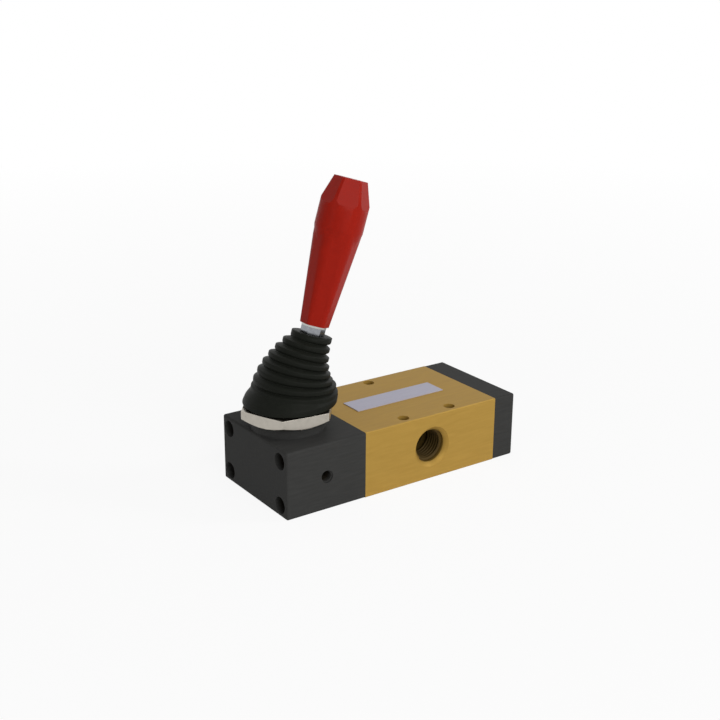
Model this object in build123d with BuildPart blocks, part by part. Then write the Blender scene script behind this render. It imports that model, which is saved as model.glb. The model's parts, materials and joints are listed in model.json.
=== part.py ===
"""Hand lever air valve: a small spool valve with a leaning lever, a rubber gaiter and a red grip.

Units are millimetres. The origin is the middle of the underside of the block, +X runs from the
lever head to the end cap, -Y is the side with the single port, and +Z is up. The lever stands at
its spring-returned rest, leaning towards the body.
"""
from build123d import *
from math import atan, cos, degrees, pi, radians, sin, sqrt, tan
import os

os.makedirs("parts", exist_ok=True)

# ---- block: lever head, body and end cap ---------------------------------------------------------
valve_width = 45.4
valve_height = 26.0
head_length = 34.0
body_length = 62.0
cap_length = 10.0
body_edge_chamfer = 0.3
head_edge_round = 0.8

total_length = head_length + body_length + cap_length
head_end_x = -total_length / 2
head_joint_x = head_end_x + head_length
cap_joint_x = head_joint_x + body_length
cap_end_x = cap_joint_x + cap_length
body_centre_x = (head_joint_x + cap_joint_x) / 2
spool_height = 13.0
front_y = -valve_width / 2
back_y = valve_width / 2

# ---- clearances ----------------------------------------------------------------------------------
running_gap = 0.04
seal_gap = 0.05
seat_gap = 0.05
thread_gap = 0.05
soft_gap = 0.3

# ---- bore, spool and the stack of guides, seals and ported cages ---------------------------------
bore_diameter = 15.5
spool_diameter = 10.0
waist_diameter = 6.0
waist_length = 15.0
cage_length = 11.2
cage_count = 3
cage_channel_length = 6.4
cage_channel_depth = 1.0
cage_hole_diameter = 3.4
cage_hole_count = 4
cage_bore_gap = 0.3
seal_seat_length = 2.8
edge_break = 0.4

seal_count = cage_count + 1
guide_length = (body_length - seal_count * seal_seat_length - cage_count * cage_length) / 2
port_spacing = cage_length + seal_seat_length

# ---- ports and fixing holes ----------------------------------------------------------------------
port_thread_diameter = 13.157
port_thread_length = 10.3
port_mouth_diameter = 16.2
port_drill_diameter = 8.5
mount_hole_diameter = 4.4
front_mount_spacing = 22.0
front_mount_inset = 4.0
back_mount_inset = 3.5
breather_thread_diameter = 5.0
breather_thread_length = 8.0
breather_drill_diameter = 3.0
breather_inset = 17.0

# ---- end screws ----------------------------------------------------------------------------------
screw_diameter = 3.0
screw_clearance_diameter = 3.4
screw_head_diameter = 5.5
screw_head_height = 3.0
screw_socket_size = 2.5
screw_socket_depth = 1.5
screw_spacing_y = 36.0
screw_spacing_z = 17.0
counterbore_diameter = 6.4
head_counterbore_depth = 6.0
cap_counterbore_depth = 4.0
screw_engagement = 8.0
tapped_depth = 10.0

# ---- face seals between the blocks ---------------------------------------------------------------
face_seal_diameter = 20.0
face_seal_section = 1.5
face_groove_width = 1.8

# ---- lever geometry, measured along the lever from its ball --------------------------------------
pivot_inset = 14.7
pivot_height = 24.0
rest_tilt = 17.1
lever_travel = 34.0
ball_diameter = 11.0
lower_arm_diameter = 3.6
tip_ball_diameter = 5.0
tip_gap = 0.06
slot_wall_rise = 1.0
slot_flare_gap = 0.4
rod_diameter = 6.0
stud_diameter = 5.0
gaiter_top_reach = 37.0
lock_nut_across_flats = 8.0
lock_nut_height = 2.7
insert_flange_diameter = 9.4
insert_flange_height = 0.7
insert_diameter = 7.5
insert_length = 20.0
stud_in_insert = 16.0
stud_end_gap = 1.0
lock_nut_gap = 0.1

tip_reach = pivot_height - spool_height
end_tilt = lever_travel - rest_tilt
stroke = tip_reach * (sin(radians(rest_tilt)) + sin(radians(end_tilt)))
pivot_x = head_end_x + pivot_inset
tip_x = pivot_x - tip_reach * sin(radians(rest_tilt))
lean = radians(rest_tilt)
pivot = (pivot_x, 0, pivot_height)
along_lever = (sin(lean), 0, cos(lean))
across_lever = (cos(lean), 0, -sin(lean))
lever_plane = Plane(origin=pivot, x_dir=across_lever, z_dir=along_lever)
lever_section = Plane(origin=pivot, x_dir=across_lever, z_dir=(0, -1, 0))
lever_axis = Axis(pivot, along_lever)

# ---- lever head: boss, neck and ball pocket ------------------------------------------------------
boss_diameter = 28.0
boss_height = 4.0
neck_diameter = 22.0
neck_height = 5.4
pocket_diameter = 17.0
ball_seat_depth = 3.5
bush_mouth_rise = 3.2
bush_top_gap = 0.6
arm_hole_diameter = 10.4
chamber_diameter = 11.0
chamber_end_gap = 0.3
spool_tail_wall = 3.0

boss_top = valve_height + boss_height
neck_top = boss_top + neck_height

# ---- gaiter nut ----------------------------------------------------------------------------------
nut_across_flats = 32.0
nut_height = 4.6
nut_chamfer = 1.6
nut_foot_inset = 0.2
nut_turn = 52.7
collar_diameter = 26.0
collar_height = 1.8

nut_foot_radius = nut_across_flats / 2 - nut_foot_inset
nut_corner_radius = nut_across_flats / sqrt(3)
nut_top = boss_top + nut_height
collar_top = nut_top + collar_height

# ---- gaiter --------------------------------------------------------------------------------------
ridge_count = 7
ridge_bottom_radius = 15.3
ridge_top_radius = 7.6
ridge_bottom_rise = 16.2
ridge_bottom_sag = 3.2
ridge_bottom_tilt = 7.6
ridge_tilt_bulge = 6.0
ridge_half_height = 0.75
collar_ridge_half_height = 1.0
valley_depth = 1.5
gaiter_wall = 0.9
hem_foot_radius = 15.2
hem_radius = 17.4
hem_height = 0.8
hem_drift = 0.9
skirt_radius = 17.1
skirt_height = 2.9
skirt_drift = 1.7
shoulder_radius = 16.0
gaiter_sides = 30
rod_hole_depth = 4.0

# ---- return spring -------------------------------------------------------------------------------
spring_mean_diameter = 8.0
spring_wire_diameter = 1.0
spring_turns = 5
spring_bends_per_turn = 16
spring_wire_sides = 6
spring_pocket_diameter = 10.4
spring_pocket_depth = 7.5
spring_end_gap = 0.05
spigot_diameter = 6.0
spigot_length = 4.5

# ---- handle --------------------------------------------------------------------------------------
handle_length = 54.4
grip_length = 36.0
grip_bottom_flats = 9.8
grip_top_flats = 16.8
grip_bottom_corner = 1.5
shoulder_length = 6.0
belt_radius = 9.0
belt_end = 46.0
crown_belt_flats = 16.2
crown_top_flats = 11.2
crown_top_radius = 6.2
facet_run = 4.0
handle_bore_gap = 0.02

# ---- nameplate, left bare ------------------------------------------------------------------------
plate_length = 41.0
plate_width = 10.0
plate_thickness = 0.3
plate_offset_x = -1.0
plate_offset_y = 0.8


def x_plane(x, height=spool_height, facing=1):
    """A plane across the valve at x, centred on the spool axis, facing +X or -X."""
    return Plane(origin=(x, 0, height), x_dir=(0, facing, 0), z_dir=(facing, 0, 0))


def side_plane(x, facing):
    """A plane on the front (-1) or back (+1) face of the block, at the spool's height."""
    corner = (x, facing * valve_width / 2, spool_height)
    return Plane(origin=corner, x_dir=(-facing, 0, 0), z_dir=(0, facing, 0))


def save(piece, name):
    """Label a finished piece and write it to its own STEP file."""
    piece.part.label = name
    export_step(piece.part, f"parts/{name}.step")


def seal_seat_x(index):
    """Start of a seal's seat in the bore, counted from the lever head."""
    return head_joint_x + guide_length + index * port_spacing


def cage_x(index):
    """Start of a ported cage in the bore, counted from the lever head."""
    return seal_seat_x(index) + seal_seat_length


# ---- valve body ----------------------------------------------------------------------------------
mount_points = [
    (body_centre_x - front_mount_spacing / 2, front_y + front_mount_inset),
    (body_centre_x + front_mount_spacing / 2, front_y + front_mount_inset),
    (body_centre_x, back_y - back_mount_inset),
]
port_planes = [
    side_plane(body_centre_x, -1),
    side_plane(body_centre_x - port_spacing, 1),
    side_plane(body_centre_x + port_spacing, 1),
]
port_mouth_depth = (port_mouth_diameter - port_thread_diameter) / 2

with BuildPart() as valve_body:
    with BuildSketch(x_plane(head_joint_x, valve_height / 2)):
        Rectangle(valve_width, valve_height)
    extrude(amount=body_length)
    chamfer(valve_body.edges().filter_by(Axis.X), body_edge_chamfer)
    with Locations(x_plane(cap_joint_x)):
        Hole(bore_diameter / 2, depth=body_length)
    for plane in port_planes:
        with Locations(plane):
            CounterSinkHole(port_thread_diameter / 2, port_mouth_diameter / 2,
                            depth=port_mouth_depth + port_thread_length, counter_sink_angle=90)
            Hole(port_drill_diameter / 2, depth=valve_width / 2)
    with Locations(*[(x, y, valve_height) for x, y in mount_points]):
        Hole(mount_hole_diameter / 2, depth=valve_height)
    for plane in (x_plane(head_joint_x, facing=-1), x_plane(cap_joint_x)):
        with Locations(plane):
            with GridLocations(screw_spacing_y, screw_spacing_z, 2, 2):
                Hole(screw_diameter / 2 + thread_gap, depth=tapped_depth)
save(valve_body, "valve_body")

# ---- lever head ----------------------------------------------------------------------------------
slot_width = tip_ball_diameter + 2 * tip_gap
spool_tail_x = tip_x - slot_width / 2 - spool_tail_wall
chamber_end_x = spool_tail_x - chamber_end_gap
ball_seat_z = pivot_height - ball_seat_depth


def cut_face_groove(plane):
    """Cut the ring groove for a face seal into the part being built."""
    with BuildSketch(plane) as groove:
        Circle((face_seal_diameter + face_groove_width) / 2)
        Circle((face_seal_diameter - face_groove_width) / 2, mode=Mode.SUBTRACT)
    extrude(groove.sketch, amount=-face_seal_section, mode=Mode.SUBTRACT)


def cut_screw_holes(plane, counterbore_depth):
    """Cut the four counterbored screw holes right through an end block."""
    with Locations(plane):
        with GridLocations(screw_spacing_y, screw_spacing_z, 2, 2):
            CounterBoreHole(screw_clearance_diameter / 2, counterbore_diameter / 2, counterbore_depth)


with BuildPart() as lever_head:
    with BuildSketch(x_plane(head_end_x, valve_height / 2)):
        Rectangle(valve_width, valve_height)
    extrude(amount=head_length)
    long_edges = lever_head.edges().filter_by(Axis.X)
    end_edges = lever_head.faces().sort_by(Axis.X)[0].edges()
    fillet(long_edges + end_edges, head_edge_round)
    cut_screw_holes(x_plane(head_end_x, facing=-1), head_counterbore_depth)
    with BuildSketch(Plane.XY.offset(valve_height)):
        with Locations((pivot_x, 0)):
            Circle(boss_diameter / 2)
    extrude(amount=boss_height)
    with BuildSketch(Plane.XY.offset(boss_top)):
        with Locations((pivot_x, 0)):
            Circle(neck_diameter / 2)
    extrude(amount=neck_height)
    with Locations((pivot_x, 0, neck_top)):
        Hole(pocket_diameter / 2, depth=neck_top - ball_seat_z)
        Hole(arm_hole_diameter / 2, depth=neck_top - spool_height)
    with Locations(x_plane(head_joint_x)):
        Hole(chamber_diameter / 2, depth=head_joint_x - chamber_end_x)
    with Locations(side_plane(head_end_x + breather_inset, -1)):
        Hole(breather_thread_diameter / 2, depth=breather_thread_length)
        Hole(breather_drill_diameter / 2, depth=valve_width / 2)
    cut_face_groove(x_plane(head_joint_x))
save(lever_head, "lever_head")

# ---- end cap -------------------------------------------------------------------------------------
with BuildPart() as end_cap:
    with BuildSketch(x_plane(cap_joint_x, valve_height / 2)):
        Rectangle(valve_width, valve_height)
    extrude(amount=cap_length)
    long_edges = end_cap.edges().filter_by(Axis.X)
    end_edges = end_cap.faces().sort_by(Axis.X)[-1].edges()
    fillet(long_edges + end_edges, head_edge_round)
    cut_screw_holes(x_plane(cap_end_x), cap_counterbore_depth)
    with Locations(x_plane(cap_joint_x, facing=-1)):
        Hole(spring_pocket_diameter / 2, depth=spring_pocket_depth)
    cut_face_groove(x_plane(cap_joint_x, facing=-1))
save(end_cap, "end_cap")


# ---- end screws ----------------------------------------------------------------------------------
def socket_screws(plane, shank_length):
    """Four socket cap screws with their heads on the plane and their shanks behind it."""
    with BuildPart() as screws:
        with BuildSketch(plane):
            with GridLocations(screw_spacing_y, screw_spacing_z, 2, 2):
                Circle(screw_head_diameter / 2)
        extrude(amount=screw_head_height)
        with BuildSketch(plane):
            with GridLocations(screw_spacing_y, screw_spacing_z, 2, 2):
                Circle(screw_diameter / 2)
        extrude(amount=-shank_length)
        with BuildSketch(plane.offset(screw_head_height)):
            with GridLocations(screw_spacing_y, screw_spacing_z, 2, 2):
                RegularPolygon(screw_socket_size / 2, 6, major_radius=False)
        extrude(amount=-screw_socket_depth, mode=Mode.SUBTRACT)
    return screws


head_seat_plane = x_plane(head_end_x + head_counterbore_depth, facing=-1)
cap_seat_plane = x_plane(cap_end_x - cap_counterbore_depth)
head_shank = head_length - head_counterbore_depth + screw_engagement
cap_shank = cap_length - cap_counterbore_depth + screw_engagement
save(socket_screws(head_seat_plane, head_shank), "head_screws")
save(socket_screws(cap_seat_plane, cap_shank), "cap_screws")


# ---- seals, cages and guides ---------------------------------------------------------------------
def seal_ring(x, mean_diameter, section_size):
    """A square-cut rubber ring about the spool axis, centred at x."""
    with BuildPart() as ring:
        with BuildSketch(Plane.XZ):
            with Locations((x, spool_height + mean_diameter / 2)):
                Rectangle(section_size, section_size)
        revolve(axis=Axis((0, 0, spool_height), (1, 0, 0)))
    return ring


def guide_bush(x):
    """A plain bush that fills one end of the bore and carries the spool."""
    with BuildPart() as bush:
        with BuildSketch(x_plane(x)):
            Circle(bore_diameter / 2 - seat_gap)
            Circle(spool_diameter / 2 + running_gap, mode=Mode.SUBTRACT)
        extrude(amount=guide_length)
        rims = bush.edges().filter_by(GeomType.CIRCLE).group_by(SortBy.RADIUS)[-1]
        chamfer(rims, edge_break)
    return bush


def port_cage(x):
    """A ring with a channel round its outside and radial holes that let air through to the spool."""
    with BuildPart() as cage:
        with BuildSketch(x_plane(x)):
            Circle(bore_diameter / 2 - seat_gap)
            Circle(spool_diameter / 2 + cage_bore_gap, mode=Mode.SUBTRACT)
        extrude(amount=cage_length)
        with BuildSketch(x_plane(x + (cage_length - cage_channel_length) / 2)):
            Circle(bore_diameter / 2)
            Circle(bore_diameter / 2 - seat_gap - cage_channel_depth, mode=Mode.SUBTRACT)
        extrude(amount=cage_channel_length, mode=Mode.SUBTRACT)
        for hole in range(cage_hole_count // 2):
            turn = 2 * pi * hole / cage_hole_count
            middle = (x + cage_length / 2, 0, spool_height)
            with BuildSketch(Plane(origin=middle, x_dir=(1, 0, 0), z_dir=(0, cos(turn), sin(turn)))):
                Circle(cage_hole_diameter / 2)
            extrude(amount=bore_diameter / 2, both=True, mode=Mode.SUBTRACT)
    return cage


save(guide_bush(head_joint_x), "head_guide_bush")
save(guide_bush(cap_joint_x - guide_length), "cap_guide_bush")
spool_seal_section = (bore_diameter - spool_diameter) / 2 - 2 * seal_gap
spool_seal_diameter = (bore_diameter + spool_diameter) / 2
for index in range(seal_count):
    seal_x = seal_seat_x(index) + seal_seat_length / 2
    seal = seal_ring(seal_x, spool_seal_diameter, spool_seal_section)
    save(seal, f"spool_seal_{index + 1}")
for index, name in enumerate(("exhaust_cage", "outlet_cage", "supply_cage")):
    save(port_cage(cage_x(index)), name)
for joint_x, facing, name in ((head_joint_x, -1, "head_face_seal"), (cap_joint_x, 1, "cap_face_seal")):
    seal_x = joint_x + facing * face_seal_section / 2
    save(seal_ring(seal_x, face_seal_diameter, face_seal_section), name)

# ---- spool ---------------------------------------------------------------------------------------
spool_shoulder_x = cap_joint_x - stroke - seat_gap
waist_centre_x = body_centre_x - stroke / 2
slot_mouth = 2 * (spool_diameter / 2 * tan(lean) + lower_arm_diameter / 2 / cos(lean) + slot_flare_gap)

with BuildPart() as spool:
    with BuildSketch(x_plane(spool_tail_x)):
        Circle(spool_diameter / 2)
    extrude(amount=spool_shoulder_x - spool_tail_x)
    chamfer(spool.edges().filter_by(GeomType.CIRCLE), edge_break)
    with BuildSketch(x_plane(spool_shoulder_x)):
        Circle(spigot_diameter / 2)
    extrude(amount=spigot_length)
    with BuildSketch(x_plane(waist_centre_x - waist_length / 2)):
        Circle(spool_diameter / 2)
        Circle(waist_diameter / 2, mode=Mode.SUBTRACT)
    extrude(amount=waist_length, mode=Mode.SUBTRACT)
    with BuildSketch(Plane(origin=(tip_x, 0, spool_height), x_dir=(1, 0, 0), z_dir=(0, -1, 0))):
        with BuildLine():
            Polyline((-slot_width / 2, -slot_width / 2), (slot_width / 2, -slot_width / 2),
                     (slot_width / 2, slot_wall_rise), (slot_mouth / 2, spool_diameter / 2),
                     (slot_mouth / 2, spool_diameter), (-slot_mouth / 2, spool_diameter),
                     (-slot_mouth / 2, spool_diameter / 2), (-slot_width / 2, slot_wall_rise),
                     close=True)
        make_face()
    extrude(amount=spool_diameter / 2, both=True, mode=Mode.SUBTRACT)
save(spool, "spool")

# ---- return spring, from the spool's shoulder to the floor of the cap's pocket -------------------
spring_start_x = spool_shoulder_x + spring_end_gap
spring_end_x = cap_joint_x + spring_pocket_depth - spring_end_gap
coil_length = spring_end_x - spring_start_x - spring_wire_diameter
spring_bends = spring_turns * spring_bends_per_turn


def coil_point(bend):
    """Centre of the spring's wire at a bend, counted along the coil from the spool."""
    turn = 2 * pi * bend / spring_bends_per_turn
    x = spring_start_x + spring_wire_diameter / 2 + coil_length * bend / spring_bends
    return (x, spring_mean_diameter / 2 * cos(turn), spool_height + spring_mean_diameter / 2 * sin(turn))


with BuildPart() as return_spring:
    with BuildLine() as coil:
        Polyline(*[coil_point(bend) for bend in range(spring_bends + 1)])
    with BuildSketch(Plane(origin=coil.line @ 0, z_dir=coil.line % 0)):
        RegularPolygon(spring_wire_diameter / 2, spring_wire_sides)
    sweep(path=coil.line, transition=Transition.RIGHT)
save(return_spring, "return_spring")

# ---- ball seat and pivot bush, which hold the lever's ball between them --------------------------
socket_radius = ball_diameter / 2 + running_gap
bush_mouth_z = pivot_height + bush_mouth_rise
bush_mouth_radius = sqrt(socket_radius ** 2 - (bush_mouth_z - pivot_height) ** 2)
rod_sweep_radius = (neck_top - pivot_height) * tan(lean) + rod_diameter / 2 / cos(lean)
bush_top_radius = rod_sweep_radius + bush_top_gap

with BuildPart() as ball_seat:
    with BuildSketch(Plane.XY.offset(ball_seat_z)):
        with Locations((pivot_x, 0)):
            Circle(pocket_diameter / 2 - seat_gap)
    extrude(amount=ball_seat_depth)
    with Locations((pivot_x, 0, pivot_height)):
        Sphere(socket_radius, mode=Mode.SUBTRACT)
save(ball_seat, "ball_seat")

with BuildPart() as pivot_bush:
    with BuildSketch(Plane.XY.offset(pivot_height)):
        with Locations((pivot_x, 0)):
            Circle(pocket_diameter / 2 - thread_gap)
    extrude(amount=neck_top - pivot_height)
    with BuildSketch(Plane.XY.offset(bush_mouth_z)):
        with Locations((pivot_x, 0)):
            Circle(bush_mouth_radius)
    with BuildSketch(Plane.XY.offset(neck_top)):
        with Locations((pivot_x, 0)):
            Circle(bush_top_radius)
    loft(mode=Mode.SUBTRACT)
    with Locations((pivot_x, 0, pivot_height)):
        Sphere(socket_radius, mode=Mode.SUBTRACT)
save(pivot_bush, "pivot_bush")

# ---- gaiter nut ----------------------------------------------------------------------------------
with BuildPart() as gaiter_nut:
    with BuildSketch(Plane.XY.offset(boss_top)):
        with Locations((pivot_x, 0)):
            RegularPolygon(nut_across_flats / 2, 6, major_radius=False, rotation=nut_turn)
    extrude(amount=nut_height)
    with BuildSketch(Plane(origin=(pivot_x, 0, boss_top), x_dir=(1, 0, 0), z_dir=(0, -1, 0))):
        with BuildLine():
            Polyline((0, 0), (nut_foot_radius, 0), (nut_corner_radius, nut_chamfer),
                     (nut_corner_radius, nut_height), (0, nut_height), close=True)
        make_face()
    revolve(axis=Axis((pivot_x, 0, 0), (0, 0, 1)), mode=Mode.INTERSECT)
    with BuildSketch(Plane.XY.offset(nut_top)):
        with Locations((pivot_x, 0)):
            Circle(collar_diameter / 2)
    extrude(amount=collar_height)
    with Locations((pivot_x, 0, collar_top)):
        Hole(neck_diameter / 2 + thread_gap, depth=collar_height + nut_height)
save(gaiter_nut, "gaiter_nut")

# ---- gaiter: a hollow ruled loft through rings that shrink, drift and tilt towards the lever -----
top_ridge_reach = gaiter_top_reach - collar_ridge_half_height
top_ridge_x = pivot_x + top_ridge_reach * sin(lean)
top_ridge_z = pivot_height + top_ridge_reach * cos(lean)
bottom_ridge_z = valve_height + ridge_bottom_rise


def ring_tilt(along):
    """Tilt of the ring at along, which is 0 at the lowest ridge and 1 at the highest, in degrees."""
    bulge = ridge_tilt_bulge * sin(pi * max(along, 0))
    return ridge_bottom_tilt + (rest_tilt - ridge_bottom_tilt) * along + bulge


def ring_plane(along, lift=0):
    """Plane of the ring at along, moved by lift along its own normal."""
    tilt = radians(ring_tilt(along))
    x = pivot_x + ridge_bottom_sag + (top_ridge_x - pivot_x - ridge_bottom_sag) * along * abs(along)
    z = bottom_ridge_z + (top_ridge_z - bottom_ridge_z) * along
    level = Plane(origin=(x, 0, z), x_dir=(cos(tilt), 0, -sin(tilt)), z_dir=(sin(tilt), 0, cos(tilt)))
    return level.offset(lift)


def ring_radius(along):
    """Outer radius of a ridge at along."""
    return ridge_bottom_radius + (ridge_top_radius - ridge_bottom_radius) * along


def hem_plane(height, drift):
    """Level plane of the hem, at a height over the nut and moved towards the body by drift."""
    return Plane(origin=(pivot_x + drift, 0, nut_top + height))


ridge_step = 1 / (ridge_count - 1)
hem_mouth_radius = collar_diameter / 2 + soft_gap

with BuildPart() as gaiter:
    with BuildSketch(hem_plane(0, 0)):
        RegularPolygon(hem_foot_radius, gaiter_sides)
    with BuildSketch(hem_plane(hem_height, hem_drift)):
        RegularPolygon(hem_radius, gaiter_sides)
    with BuildSketch(hem_plane(skirt_height, skirt_drift)):
        RegularPolygon(skirt_radius, gaiter_sides)
    for lift in (-ridge_half_height, ridge_half_height):
        with BuildSketch(ring_plane(-ridge_step, lift)):
            RegularPolygon(shoulder_radius, gaiter_sides)
    for ridge in range(ridge_count):
        along = ridge * ridge_step
        valley = along - ridge_step / 2
        half_height = collar_ridge_half_height if ridge == ridge_count - 1 else ridge_half_height
        with BuildSketch(ring_plane(valley)):
            RegularPolygon(ring_radius(valley) - valley_depth, gaiter_sides)
        with BuildSketch(ring_plane(along, -half_height)):
            RegularPolygon(ring_radius(along), gaiter_sides)
        with BuildSketch(ring_plane(along, half_height)):
            RegularPolygon(ring_radius(along), gaiter_sides)
    loft(ruled=True)
    with BuildSketch(hem_plane(0, 0)):
        RegularPolygon(hem_mouth_radius, gaiter_sides)
    with BuildSketch(hem_plane(skirt_height, skirt_drift)):
        RegularPolygon(hem_mouth_radius + skirt_drift, gaiter_sides)
    for ridge in range(ridge_count):
        valley = (ridge - 0.5) * ridge_step
        with BuildSketch(ring_plane(valley)):
            RegularPolygon(ring_radius(valley) - valley_depth - gaiter_wall, gaiter_sides)
    loft(ruled=True, mode=Mode.SUBTRACT)
    with BuildSketch(lever_plane.offset(gaiter_top_reach + soft_gap)):
        Circle(rod_diameter / 2 + soft_gap)
    extrude(amount=-rod_hole_depth, mode=Mode.SUBTRACT)
save(gaiter, "gaiter")

# ---- lever rod: tip ball, lower arm, pivot ball, rod and threaded stud ---------------------------
lock_nut_start = gaiter_top_reach + lock_nut_gap
insert_start = lock_nut_start + lock_nut_height
handle_start = insert_start + insert_flange_height
stud_length = handle_start - lock_nut_start + stud_in_insert
cut_length = tip_reach + tip_ball_diameter + handle_start + handle_length

with BuildPart() as lever_rod:
    with BuildSketch(lever_section):
        Circle(ball_diameter / 2)
        with Locations((0, -tip_reach)):
            Circle(tip_ball_diameter / 2)
        Rectangle(lower_arm_diameter, tip_reach, align=(Align.CENTER, Align.MAX))
        Rectangle(rod_diameter, lock_nut_start, align=(Align.CENTER, Align.MIN))
        with Locations((0, lock_nut_start)):
            Rectangle(stud_diameter, stud_length, align=(Align.CENTER, Align.MIN))
        with Locations((0, -tip_reach - tip_ball_diameter)):
            Rectangle(ball_diameter, cut_length, align=(Align.MAX, Align.MIN), mode=Mode.SUBTRACT)
    revolve(axis=lever_axis)
save(lever_rod, "lever_rod")

with BuildPart() as handle_lock_nut:
    with BuildSketch(lever_plane.offset(lock_nut_start)):
        RegularPolygon(lock_nut_across_flats / 2, 6, major_radius=False, rotation=30)
        Circle(stud_diameter / 2 + thread_gap, mode=Mode.SUBTRACT)
    extrude(amount=lock_nut_height)
save(handle_lock_nut, "handle_lock_nut")

with BuildPart() as handle_insert:
    with BuildSketch(lever_plane.offset(insert_start)):
        Circle(insert_flange_diameter / 2)
    extrude(amount=insert_flange_height)
    with BuildSketch(lever_plane.offset(handle_start)):
        Circle(insert_diameter / 2)
    extrude(amount=insert_length)
    with BuildSketch(lever_plane.offset(insert_start)):
        Circle(stud_diameter / 2 + thread_gap)
    extrude(amount=insert_flange_height + stud_in_insert + stud_end_gap, mode=Mode.SUBTRACT)
save(handle_insert, "handle_insert")


# ---- handle: tapered hexagonal grip, round belt and faceted crown --------------------------------
flat_slope = (crown_belt_flats - crown_top_flats) / (handle_length - belt_end)
facet_start_flats = crown_belt_flats + flat_slope * facet_run
crown_length = handle_length - belt_end + facet_run
with BuildPart() as crown:
    with BuildSketch(lever_section):
        with BuildLine():
            Polyline((0, handle_start + belt_end - facet_run),
                     (belt_radius, handle_start + belt_end - facet_run),
                     (belt_radius, handle_start + belt_end),
                     (crown_top_radius, handle_start + handle_length),
                     (0, handle_start + handle_length), close=True)
        make_face()
    revolve(axis=lever_axis)
    with BuildSketch(lever_plane.offset(handle_start + belt_end - facet_run)):
        RegularPolygon(facet_start_flats / 2, 6, major_radius=False, rotation=30)
    extrude(amount=crown_length, taper=degrees(atan(flat_slope / 2)), mode=Mode.INTERSECT)

grip_growth = (grip_top_flats - grip_bottom_flats) / grip_length
shoulder_flats = grip_top_flats - grip_growth * shoulder_length

with BuildPart() as handle:
    with BuildSketch(lever_section):
        with BuildLine():
            Polyline((0, handle_start + grip_length - shoulder_length),
                     (shoulder_flats / 2, handle_start + grip_length - shoulder_length),
                     (belt_radius, handle_start + grip_length),
                     (belt_radius, handle_start + belt_end - facet_run),
                     (0, handle_start + belt_end - facet_run), close=True)
        make_face()
    revolve(axis=lever_axis)
    add(crown.part)
    with BuildSketch(lever_plane.offset(handle_start)) as foot:
        RegularPolygon(grip_bottom_flats / 2, 6, major_radius=False, rotation=30)
        fillet(foot.vertices(), grip_bottom_corner)
    extrude(amount=grip_length, taper=-degrees(atan(grip_growth / 2)))
    with BuildSketch(lever_plane.offset(handle_start)):
        Circle(insert_diameter / 2 + handle_bore_gap)
    extrude(amount=insert_length + handle_bore_gap, mode=Mode.SUBTRACT)
save(handle, "handle")

# ---- bare nameplate on the body's top face -------------------------------------------------------
with BuildPart() as nameplate:
    with BuildSketch(Plane.XY.offset(valve_height)):
        with Locations((body_centre_x + plate_offset_x, plate_offset_y)):
            Rectangle(plate_length, plate_width)
    extrude(amount=plate_thickness)
save(nameplate, "nameplate")
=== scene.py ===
"""Looks of the hand lever air valve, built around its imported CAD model.

Everything is in metres in the row frame: the origin is the middle of the block's underside, +X runs
from the lever head to the end cap, -Y is the side with the single port, and +Z is up.
"""

import json
from math import cos, pi, radians, sin

import bpy
from mathutils import Matrix, Vector


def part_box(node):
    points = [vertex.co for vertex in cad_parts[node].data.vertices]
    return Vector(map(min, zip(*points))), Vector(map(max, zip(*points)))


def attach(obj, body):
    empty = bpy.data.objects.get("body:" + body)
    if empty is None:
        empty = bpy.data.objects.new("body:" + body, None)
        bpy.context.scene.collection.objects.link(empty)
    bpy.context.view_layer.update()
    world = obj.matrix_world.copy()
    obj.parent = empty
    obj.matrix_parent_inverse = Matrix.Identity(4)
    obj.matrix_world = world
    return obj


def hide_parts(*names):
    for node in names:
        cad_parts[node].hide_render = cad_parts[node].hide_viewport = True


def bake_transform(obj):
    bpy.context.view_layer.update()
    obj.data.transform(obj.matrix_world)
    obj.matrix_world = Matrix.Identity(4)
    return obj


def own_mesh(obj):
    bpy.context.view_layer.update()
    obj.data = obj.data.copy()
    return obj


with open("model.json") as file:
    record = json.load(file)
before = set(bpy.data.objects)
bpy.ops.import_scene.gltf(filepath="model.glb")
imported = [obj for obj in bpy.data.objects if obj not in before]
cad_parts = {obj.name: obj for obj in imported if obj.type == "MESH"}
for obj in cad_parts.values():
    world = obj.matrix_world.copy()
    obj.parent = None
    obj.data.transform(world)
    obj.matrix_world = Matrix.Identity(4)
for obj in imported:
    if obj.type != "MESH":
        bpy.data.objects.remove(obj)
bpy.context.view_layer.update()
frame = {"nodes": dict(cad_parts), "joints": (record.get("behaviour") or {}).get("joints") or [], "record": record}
nodes = frame["nodes"]
mounts = {mount["name"]: mount for mount in frame["record"]["mounts"]}
lever_joint = next(joint for joint in frame["joints"] if joint["name"] == "lever_tilt")
mm = 0.001

# ---- gaiter: the same rings as the CAD solid, rounder and finer ----------------------------------
pivot_x, _, pivot_z = lever_joint["pos_m"]
nut_collar = 1.8 * mm
nut_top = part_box("gaiter_nut")[1][2] - nut_collar
block_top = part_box("valve_body")[1][2]
rest_tilt = 17.1
ridge_count = 7
ridge_step = 1 / (ridge_count - 1)
ridge_bottom_radius = 15.3 * mm
ridge_top_radius = 7.6 * mm
ridge_bottom_rise = 16.2 * mm
ridge_bottom_sag = 3.2 * mm
ridge_bottom_tilt = 7.6
ridge_tilt_bulge = 6.0
ridge_half_height = 0.75 * mm
top_ridge_half_height = 1.0 * mm
top_ridge_reach = 36.0 * mm
valley_depth = 1.5 * mm
gaiter_wall = 0.9 * mm
hem_foot_radius = 15.2 * mm
hem_radius = 17.4 * mm
hem_height = 0.8 * mm
hem_drift = 0.9 * mm
skirt_radius = 17.1 * mm
skirt_height = 2.9 * mm
skirt_drift = 1.7 * mm
hem_mouth_radius = 13.3 * mm
shoulder_radius = 16.0 * mm
rod_hole_radius = 3.3 * mm
corner_softness = 0.28 * mm
ring_segments = 96

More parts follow.
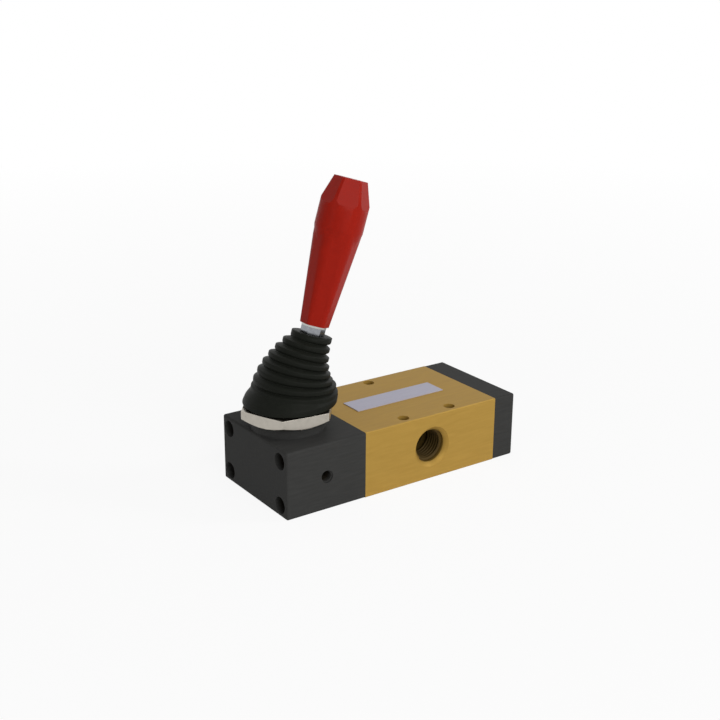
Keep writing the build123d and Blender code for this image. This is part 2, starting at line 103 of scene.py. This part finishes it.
# ---- threads -------------------------------------------------------------------------------------
port_pitch = 1.337 * mm
port_thread_depth = 0.82 * mm
breather_pitch = 0.8 * mm
breather_thread_depth = 0.43 * mm
thread_steps = 48
thread_crest_share = 0.12
thread_root_share = 0.46
thread_sink = 0.02 * mm

# ---- return spring -------------------------------------------------------------------------------
spring_turns = 5
spring_steps = 32
spring_sides = 10
spring_wire_radius = 0.48 * mm

# ---- softened edges ------------------------------------------------------------------------------
handle_edge = 0.3 * mm
gaiter_nut_edge = 0.2 * mm
lock_nut_edge = 0.15 * mm
edge_segments = 2
edge_angle = 25
weld_distance = 0.001 * mm


def ring(centre_x, centre_z, tilt, radius):
    """One cross-section of the gaiter: where its centre is, how it tilts and how big it is."""
    return (centre_x, centre_z, tilt, radius)


def ridge_ring(along, lift, radius):
    """The ring at along, 0 at the lowest ridge and 1 at the highest, moved by lift along its normal."""
    bulge = ridge_tilt_bulge * sin(pi * max(along, 0))
    tilt = radians(ridge_bottom_tilt + (rest_tilt - ridge_bottom_tilt) * along + bulge)
    lean = radians(rest_tilt)
    top_x = pivot_x + top_ridge_reach * sin(lean)
    top_z = pivot_z + top_ridge_reach * cos(lean)
    low_x = pivot_x + ridge_bottom_sag
    low_z = block_top + ridge_bottom_rise
    x = low_x + (top_x - low_x) * along * abs(along) + lift * sin(tilt)
    z = low_z + (top_z - low_z) * along + lift * cos(tilt)
    return ring(x, z, tilt, radius)


def ridge_radius(along):
    """Outer radius of a ridge at along."""
    return ridge_bottom_radius + (ridge_top_radius - ridge_bottom_radius) * along


def outer_rings():
    """Rings of the gaiter's outside, from the foot of its hem to its top collar."""
    rings = [
        ring(pivot_x, nut_top, 0, hem_foot_radius),
        ring(pivot_x + hem_drift, nut_top + hem_height, 0, hem_radius),
        ring(pivot_x + skirt_drift, nut_top + skirt_height, 0, skirt_radius),
        ridge_ring(-ridge_step, -ridge_half_height, shoulder_radius),
        ridge_ring(-ridge_step, ridge_half_height, shoulder_radius),
    ]
    for ridge in range(ridge_count):
        along = ridge * ridge_step
        valley = along - ridge_step / 2
        half_height = top_ridge_half_height if ridge == ridge_count - 1 else ridge_half_height
        rings.append(ridge_ring(valley, 0, ridge_radius(valley) - valley_depth))
        rings.append(ridge_ring(along, -half_height, ridge_radius(along)))
        rings.append(ridge_ring(along, half_height, ridge_radius(along)))
    return rings


def inner_rings():
    """Rings of the gaiter's inside, from its top hole down to the mouth of its hem."""
    rings = [
        ridge_ring(1, top_ridge_half_height, rod_hole_radius),
        ridge_ring(1, -top_ridge_half_height, rod_hole_radius),
    ]
    for ridge in reversed(range(ridge_count)):
        valley = (ridge - 0.5) * ridge_step
        rings.append(ridge_ring(valley, 0, ridge_radius(valley) - valley_depth - gaiter_wall))
    rings.append(ring(pivot_x + skirt_drift, nut_top + skirt_height, 0, hem_mouth_radius + skirt_drift))
    rings.append(ring(pivot_x, nut_top, 0, hem_mouth_radius))
    return rings


def between(first, second, share):
    """The ring that lies at share of the way from the first ring to the second."""
    return tuple(a + (b - a) * share for a, b in zip(first, second))


def ring_gap(first, second):
    """How far apart two rings are, in height and radius."""
    return ((second[1] - first[1]) ** 2 + (second[3] - first[3]) ** 2) ** 0.5


def soften(rings, softness):
    """Round every corner between neighbouring rings with three rings in its place."""
    soft = [rings[0]]
    for before, corner, after in zip(rings, rings[1:], rings[2:]):
        start = between(corner, before, min(0.45, softness / ring_gap(corner, before)))
        end = between(corner, after, min(0.45, softness / ring_gap(corner, after)))
        middle = between(between(start, end, 0.5), corner, 0.5)
        soft += [start, middle, end]
    return soft + [rings[-1]]


def ring_points(one):
    """The points round one ring."""
    x, z, tilt, radius = one
    points = []
    for step in range(ring_segments):
        turn = 2 * pi * step / ring_segments
        across = radius * cos(turn)
        points.append((x + across * cos(tilt), radius * sin(turn), z - across * sin(tilt)))
    return points


def mesh_object(name, points, faces):
    """A smooth-shaded mesh object from points and faces."""
    mesh = bpy.data.meshes.new(name)
    mesh.from_pydata(points, [], faces)
    mesh.validate()
    mesh.shade_smooth()
    shape = bpy.data.objects.new(name, mesh)
    bpy.context.scene.collection.objects.link(shape)
    return shape


def build_gaiter():
    """The gaiter as one closed shell: outside up, inside down, and back to the foot."""
    rings = soften(outer_rings(), corner_softness) + inner_rings()
    points = [point for one in rings for point in ring_points(one)]
    faces = []
    for level in range(len(rings)):
        above = (level + 1) % len(rings)
        for step in range(ring_segments):
            beside = (step + 1) % ring_segments
            faces.append((
                level * ring_segments + step,
                level * ring_segments + beside,
                above * ring_segments + beside,
                above * ring_segments + step,
            ))
    return mesh_object("gaiter_skin", points, faces)


def build_thread(name, mount, depth, pitch):
    """A helical thread ridge that stands inwards from the plain wall of a threaded hole."""
    axis = Vector(mount["axis"])
    side = axis.orthogonal().normalized()
    other = axis.cross(side)
    wall = mount["dims"]["r_mm"] * mm + thread_sink
    length = mount["dims"]["length_mm"] * mm
    deep_end = Vector(mount["pos_m"]) - axis * (length / 2)
    turns = int(length / pitch - 1)
    steps = turns * thread_steps
    start = (length - turns * pitch) / 2
    profile = [
        (wall, -thread_root_share * pitch),
        (wall - depth - thread_sink, -thread_crest_share * pitch),
        (wall - depth - thread_sink, thread_crest_share * pitch),
        (wall, thread_root_share * pitch),
    ]
    points = []
    for step in range(steps + 1):
        turn = 2 * pi * step / thread_steps
        outward = side * cos(turn) + other * sin(turn)
        rise = start + pitch * step / thread_steps
        points += [deep_end + outward * radius + axis * (rise + along) for radius, along in profile]
    corners = len(profile)
    faces = [tuple(range(corners))]
    for step in range(steps):
        for corner in range(corners):
            beside = (corner + 1) % corners
            low = step * corners
            faces.append((low + corner, low + corners + corner, low + corners + beside, low + beside))
    faces.append(tuple(reversed(range(steps * corners, (steps + 1) * corners))))
    thread = mesh_object(name, points, faces)
    thread.data.shade_flat()
    return thread


def build_spring():
    """The return spring as a smooth coil of round wire in the CAD spring's box."""
    low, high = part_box("return_spring")
    centre_y, centre_z = (low[1] + high[1]) / 2, (low[2] + high[2]) / 2
    coil_radius = (high[1] - low[1]) / 2 - spring_wire_radius
    first_x = low[0] + spring_wire_radius
    coil_length = high[0] - low[0] - 2 * spring_wire_radius
    steps = spring_turns * spring_steps
    points = []
    for step in range(steps + 1):
        turn = 2 * pi * step / spring_steps
        outward = Vector((0, cos(turn), sin(turn)))
        middle = Vector((first_x + coil_length * step / steps, centre_y, centre_z)) + outward * coil_radius
        for side in range(spring_sides):
            around = 2 * pi * side / spring_sides
            points.append(middle + outward * spring_wire_radius * cos(around)
                          + Vector((spring_wire_radius * sin(around), 0, 0)))
    faces = [tuple(range(spring_sides))]
    for step in range(steps):
        low_ring = step * spring_sides
        for side in range(spring_sides):
            beside = (side + 1) % spring_sides
            faces.append((low_ring + side, low_ring + spring_sides + side,
                          low_ring + spring_sides + beside, low_ring + beside))
    faces.append(tuple(reversed(range(steps * spring_sides, (steps + 1) * spring_sides))))
    return mesh_object("return_spring_coil", points, faces)


def round_edges(node, width):
    """Soften a CAD node's sharp edges with modifiers, leaving its mesh as it is."""
    weld = node.modifiers.new("weld", "WELD")
    weld.merge_threshold = weld_distance
    bevel = node.modifiers.new("bevel", "BEVEL")
    bevel.width = width
    bevel.segments = edge_segments
    bevel.limit_method = "ANGLE"
    bevel.angle_limit = radians(edge_angle)
    bevel.use_clamp_overlap = True
    node.modifiers.new("normals", "WEIGHTED_NORMAL")


# ---- materials -----------------------------------------------------------------------------------
noise_detail = 5
relief_depth = 0.05 * mm


def paint_recess_shade(tree, place, colour):
    """Paint shade into a colour, darker with depth below the block's outer faces, so that its drilled holes look
    shadowed inside.
    """
    low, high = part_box("valve_body")
    half_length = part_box("end_cap")[1][0]
    centre_z = (low[2] + high[2]) / 2
    centred = tree.nodes.new("ShaderNodeVectorMath")
    centred.operation = "SUBTRACT"
    centred.inputs[1].default_value = (0, 0, centre_z)
    folded = tree.nodes.new("ShaderNodeVectorMath")
    folded.operation = "ABSOLUTE"
    depths = tree.nodes.new("ShaderNodeVectorMath")
    depths.operation = "SUBTRACT"
    depths.inputs[0].default_value = (half_length, high[1], high[2] - centre_z)
    parts = tree.nodes.new("ShaderNodeSeparateXYZ")
    side_depth = tree.nodes.new("ShaderNodeMath")
    side_depth.operation = "MINIMUM"
    depth = tree.nodes.new("ShaderNodeMath")
    depth.operation = "MINIMUM"
    share = tree.nodes.new("ShaderNodeMapRange")
    share.inputs["From Min"].default_value = painted_recess_shade_start
    share.inputs["From Max"].default_value = painted_recess_shade_end
    share.inputs["To Max"].default_value = painted_recess_shade_most
    shaded = tree.nodes.new("ShaderNodeMix")
    shaded.data_type = "RGBA"
    shaded.inputs["B"].default_value = painted_recess_shade
    links = tree.links
    links.new(place, centred.inputs[0])
    links.new(centred.outputs["Vector"], folded.inputs[0])
    links.new(folded.outputs["Vector"], depths.inputs[1])
    links.new(depths.outputs["Vector"], parts.inputs["Vector"])
    links.new(parts.outputs["Y"], side_depth.inputs[0])
    links.new(parts.outputs["Z"], side_depth.inputs[1])
    links.new(parts.outputs["X"], depth.inputs[0])
    links.new(side_depth.outputs[0], depth.inputs[1])
    links.new(depth.outputs[0], share.inputs["Value"])
    links.new(share.outputs["Result"], shaded.inputs["Factor"])
    links.new(colour, shaded.inputs["A"])
    return shaded.outputs["Result"]


def surface(name, dark, light, grain, roughness, metallic=0.0, specular=0.5, bump=0.1, stretch=(1, 1, 1),
            with_painted_recess_shade=False):
    """A procedural finish: two shades mottled by noise, an uneven roughness and a fine bump, with painted shade in
    the holes where asked.
    """
    material = bpy.data.materials.new(name)
    material.use_nodes = True
    tree = material.node_tree
    shader = tree.nodes["Principled BSDF"]
    shader.inputs["Metallic"].default_value = metallic
    shader.inputs["Specular IOR Level"].default_value = specular
    place = tree.nodes.new("ShaderNodeTexCoord")
    mapping = tree.nodes.new("ShaderNodeMapping")
    mapping.inputs["Scale"].default_value = stretch
    noise = tree.nodes.new("ShaderNodeTexNoise")
    noise.inputs["Scale"].default_value = grain
    noise.inputs["Detail"].default_value = noise_detail
    shades = tree.nodes.new("ShaderNodeMix")
    shades.data_type = "RGBA"
    shades.inputs["A"].default_value = (*dark, 1)
    shades.inputs["B"].default_value = (*light, 1)
    sheen = tree.nodes.new("ShaderNodeMapRange")
    sheen.inputs["To Min"].default_value = roughness[0]
    sheen.inputs["To Max"].default_value = roughness[1]
    relief = tree.nodes.new("ShaderNodeBump")
    relief.inputs["Strength"].default_value = bump
    relief.inputs["Distance"].default_value = relief_depth
    links = tree.links
    links.new(place.outputs["Object"], mapping.inputs["Vector"])
    links.new(mapping.outputs["Vector"], noise.inputs["Vector"])
    links.new(noise.outputs["Fac"], shades.inputs["Factor"])
    links.new(noise.outputs["Fac"], sheen.inputs["Value"])
    links.new(noise.outputs["Fac"], relief.inputs["Height"])
    colour = shades.outputs["Result"]
    # Painted shade: the walls of the holes darken with depth below the block's outer faces.
    if with_painted_recess_shade:
        colour = paint_recess_shade(tree, place.outputs["Object"], colour)
    links.new(colour, shader.inputs["Base Color"])
    links.new(sheen.outputs["Result"], shader.inputs["Roughness"])
    links.new(relief.outputs["Normal"], shader.inputs["Normal"])
    return material


along_block = (0.12, 1, 1)
# Painted shade in the holes: its dark colour, and the depths over which it comes in and how much it covers.
painted_recess_shade = (0.012, 0.008, 0.003, 1)
painted_recess_shade_start = 0.6 * mm
painted_recess_shade_end = 3.2 * mm
painted_recess_shade_most = 0.88
# The gold and black aluminium carry painted shade inside their holes.
finishes = {
    "gold_aluminium": surface("gold_anodised", (0.37, 0.220, 0.043), (0.47, 0.290, 0.062), 900,
                              (0.42, 0.54), metallic=0.2, specular=0.1, bump=0.25, stretch=along_block,
                              with_painted_recess_shade=True),
    "black_aluminium": surface("black_anodised", (0.036, 0.036, 0.035), (0.055, 0.055, 0.053), 1100,
                               (0.40, 0.52), specular=0.02, bump=0.2, stretch=along_block,
                               with_painted_recess_shade=True),
    "black_steel": surface("black_oxide", (0.010, 0.010, 0.011), (0.018, 0.018, 0.020), 1500,
                           (0.40, 0.55), specular=0.3, bump=0.15),
    "white_polymer": surface("acetal", (0.70, 0.70, 0.66), (0.80, 0.80, 0.76), 700, (0.40, 0.50)),
    "seal_rubber": surface("nitrile", (0.006, 0.006, 0.006), (0.012, 0.012, 0.012), 900,
                           (0.50, 0.65), specular=0.2, bump=0.2),
    "spring_steel": surface("spring_wire", (0.40, 0.39, 0.37), (0.52, 0.51, 0.49), 1500,
                            (0.25, 0.35), metallic=1.0),
    "turned_steel": surface("turned_steel", (0.45, 0.44, 0.42), (0.58, 0.57, 0.55), 1500,
                            (0.25, 0.38), metallic=1.0),
    "nickel_nut": surface("satin_nickel", (0.37, 0.345, 0.30), (0.50, 0.465, 0.41), 500,
                          (0.24, 0.36), metallic=1.0, bump=0.12),
    "gaiter_rubber": surface("moulded_rubber", (0.007, 0.008, 0.006), (0.013, 0.014, 0.011), 800,
                             (0.40, 0.54), specular=0.05, bump=0.25),
    "silver_plate": surface("satin_foil", (0.42, 0.41, 0.49), (0.52, 0.51, 0.60), 1500,
                            (0.38, 0.50), metallic=0.2, specular=0.1, stretch=along_block),
    "bright_steel": surface("bright_plate", (0.20, 0.21, 0.23), (0.34, 0.35, 0.37), 1200,
                            (0.12, 0.20), metallic=1.0, bump=0.05),
    "brass_insert": surface("plated_brass", (0.40, 0.40, 0.38), (0.52, 0.52, 0.50), 1200,
                            (0.15, 0.25), metallic=1.0, bump=0.05),
    "red_plastic": surface("red_moulding", (0.29, 0.010, 0.004), (0.36, 0.013, 0.005), 350,
                           (0.30, 0.40), specular=0.07, bump=0.05),
    "spool_aluminium": surface("ground_aluminium", (0.60, 0.60, 0.62), (0.72, 0.72, 0.74), 1300,
                               (0.20, 0.30), metallic=1.0),
}


def paint(piece, slot_name):
    """Give a piece the finish of a material slot."""
    piece.data.materials.clear()
    piece.data.materials.append(finishes[slot_name])


for part in frame["record"]["subparts"]:
    paint(nodes[part["node"]], part["material_slot"])

round_edges(nodes["handle"], handle_edge)
round_edges(nodes["gaiter_nut"], gaiter_nut_edge)
round_edges(nodes["handle_lock_nut"], lock_nut_edge)

gaiter_skin = build_gaiter()
paint(gaiter_skin, "gaiter_rubber")
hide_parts("gaiter")
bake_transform(gaiter_skin)

spring_coil = build_spring()
paint(spring_coil, "spring_steel")
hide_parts("return_spring")
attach(spring_coil, "valve")
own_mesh(spring_coil)

for port in ("outlet_port", "exhaust_port", "supply_port"):
    port_thread = build_thread(port + "_thread", mounts[port], port_thread_depth, port_pitch)
    paint(port_thread, "gold_aluminium")
    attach(port_thread, "valve")

breather = mounts["breather_port"]
breather_thread = build_thread("breather_thread", breather, breather_thread_depth, breather_pitch)
paint(breather_thread, "black_aluminium")
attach(breather_thread, "valve")

# ---- stage: white floor, room that looks white, and soft lamps -----------------------------------
floor_half = 12.0
floor_grey = 0.92
room_level = 0.25
near_glow = 0.90
far_glow = 1.0
glow_start = 0.15
glow_end = 0.7


def build_floor():
    """A white floor, seen as white by camera and mirror rays, that keeps a soft shadow near the object."""
    corners = [(-floor_half, -floor_half, 0), (floor_half, -floor_half, 0),
               (floor_half, floor_half, 0), (-floor_half, floor_half, 0)]
    floor = mesh_object("floor", corners, [(0, 1, 2, 3)])
    floor.data.shade_flat()
    material = bpy.data.materials.new("white_floor")
    material.use_nodes = True
    nodes_of, links = material.node_tree.nodes, material.node_tree.links
    nodes_of.clear()
    output = nodes_of.new("ShaderNodeOutputMaterial")
    matt = nodes_of.new("ShaderNodeBsdfDiffuse")
    matt.inputs["Color"].default_value = (floor_grey, floor_grey, floor_grey, 1)
    glow = nodes_of.new("ShaderNodeEmission")
    place = nodes_of.new("ShaderNodeTexCoord")
    distance = nodes_of.new("ShaderNodeVectorMath")
    distance.operation = "LENGTH"
    share = nodes_of.new("ShaderNodeMapRange")
    share.inputs["From Min"].default_value = glow_start
    share.inputs["From Max"].default_value = glow_end
    share.inputs["To Min"].default_value = near_glow
    share.inputs["To Max"].default_value = far_glow
    rays = nodes_of.new("ShaderNodeLightPath")
    seen = nodes_of.new("ShaderNodeMath")
    seen.operation = "MAXIMUM"
    seen_through = nodes_of.new("ShaderNodeMath")
    seen_through.operation = "MAXIMUM"
    amount = nodes_of.new("ShaderNodeMath")
    amount.operation = "MULTIPLY"
    mixed = nodes_of.new("ShaderNodeMixShader")
    links.new(place.outputs["Object"], distance.inputs[0])
    links.new(distance.outputs["Value"], share.inputs["Value"])
    links.new(rays.outputs["Is Camera Ray"], seen.inputs[0])
    links.new(rays.outputs["Is Glossy Ray"], seen.inputs[1])
    links.new(seen.outputs[0], seen_through.inputs[0])
    links.new(rays.outputs["Is Transmission Ray"], seen_through.inputs[1])
    links.new(seen_through.outputs[0], amount.inputs[0])
    links.new(share.outputs["Result"], amount.inputs[1])
    links.new(amount.outputs[0], mixed.inputs["Fac"])
    links.new(matt.outputs[0], mixed.inputs[1])
    links.new(glow.outputs[0], mixed.inputs[2])
    links.new(mixed.outputs[0], output.inputs["Surface"])
    floor.data.materials.append(material)


def build_room(level):
    """A room that gives an even grey light and looks white to camera, mirror and transmission rays."""
    world = bpy.data.worlds.new("room")
    world.use_nodes = True
    nodes_of, links = world.node_tree.nodes, world.node_tree.links
    background = nodes_of["Background"]
    rays = nodes_of.new("ShaderNodeLightPath")
    seen = nodes_of.new("ShaderNodeMath")
    seen.operation = "MAXIMUM"
    seen_through = nodes_of.new("ShaderNodeMath")
    seen_through.operation = "MAXIMUM"
    strength = nodes_of.new("ShaderNodeMapRange")
    strength.inputs["To Min"].default_value = level
    strength.inputs["To Max"].default_value = far_glow
    background.inputs["Color"].default_value = (1, 1, 1, 1)
    links.new(rays.outputs["Is Camera Ray"], seen.inputs[0])
    links.new(rays.outputs["Is Glossy Ray"], seen.inputs[1])
    links.new(seen.outputs[0], seen_through.inputs[0])
    links.new(rays.outputs["Is Transmission Ray"], seen_through.inputs[1])
    links.new(seen_through.outputs[0], strength.inputs["Value"])
    links.new(strength.outputs["Result"], background.inputs["Strength"])
    bpy.context.scene.world = world


def add_lamp(name, place, aim, size, power):
    """A square soft lamp at place, turned towards aim."""
    lamp = bpy.data.lights.new(name, "AREA")
    lamp.shape = "SQUARE"
    lamp.size = size
    lamp.energy = power
    holder = bpy.data.objects.new(name, lamp)
    holder.location = place
    holder.rotation_euler = (Vector(aim) - Vector(place)).to_track_quat("-Z", "Y").to_euler()
    bpy.context.scene.collection.objects.link(holder)


build_floor()
build_room(room_level)
lamp_aim = (0, 0, 0.04)
add_lamp("front_lamp", (-0.15, -1.3, 0.75), lamp_aim, 0.9, 11)
add_lamp("left_lamp", (-1.2, -0.3, 0.7), lamp_aim, 0.6, 1.2)
add_lamp("right_lamp", (1.0, -0.7, 0.8), lamp_aim, 0.3, 5)
add_lamp("top_lamp", (0.2, 0.5, 1.4), lamp_aim, 0.8, 0.8)

# ---- camera --------------------------------------------------------------------------------------
camera_place = Vector((-0.2545, -0.3526, 0.1973))
camera_yaw = radians(-35.18)
camera_pitch = radians(18.98)
camera_roll = radians(0.435)
camera_lens = 60.4
sensor_width = 36
picture_width = 720
camera_shift = -10 / picture_width

level_reach = cos(camera_pitch)
forward = Vector((-sin(camera_yaw) * level_reach, cos(camera_yaw) * level_reach, -sin(camera_pitch)))
level_right = Vector((cos(camera_yaw), sin(camera_yaw), 0))
level_up = level_right.cross(forward)
right = level_right * cos(camera_roll) + level_up * sin(camera_roll)
up = right.cross(forward)
camera_data = bpy.data.cameras.new("camera")
camera_data.lens = camera_lens
camera_data.sensor_width = sensor_width
camera_data.shift_y = camera_shift
camera = bpy.data.objects.new("camera", camera_data)
camera.matrix_world = Matrix.Translation(camera_place) @ Matrix((right, up, -forward)).transposed().to_4x4()
bpy.context.scene.collection.objects.link(camera)
bpy.context.scene.camera = camera
bpy.context.scene.view_settings.view_transform = "Standard"
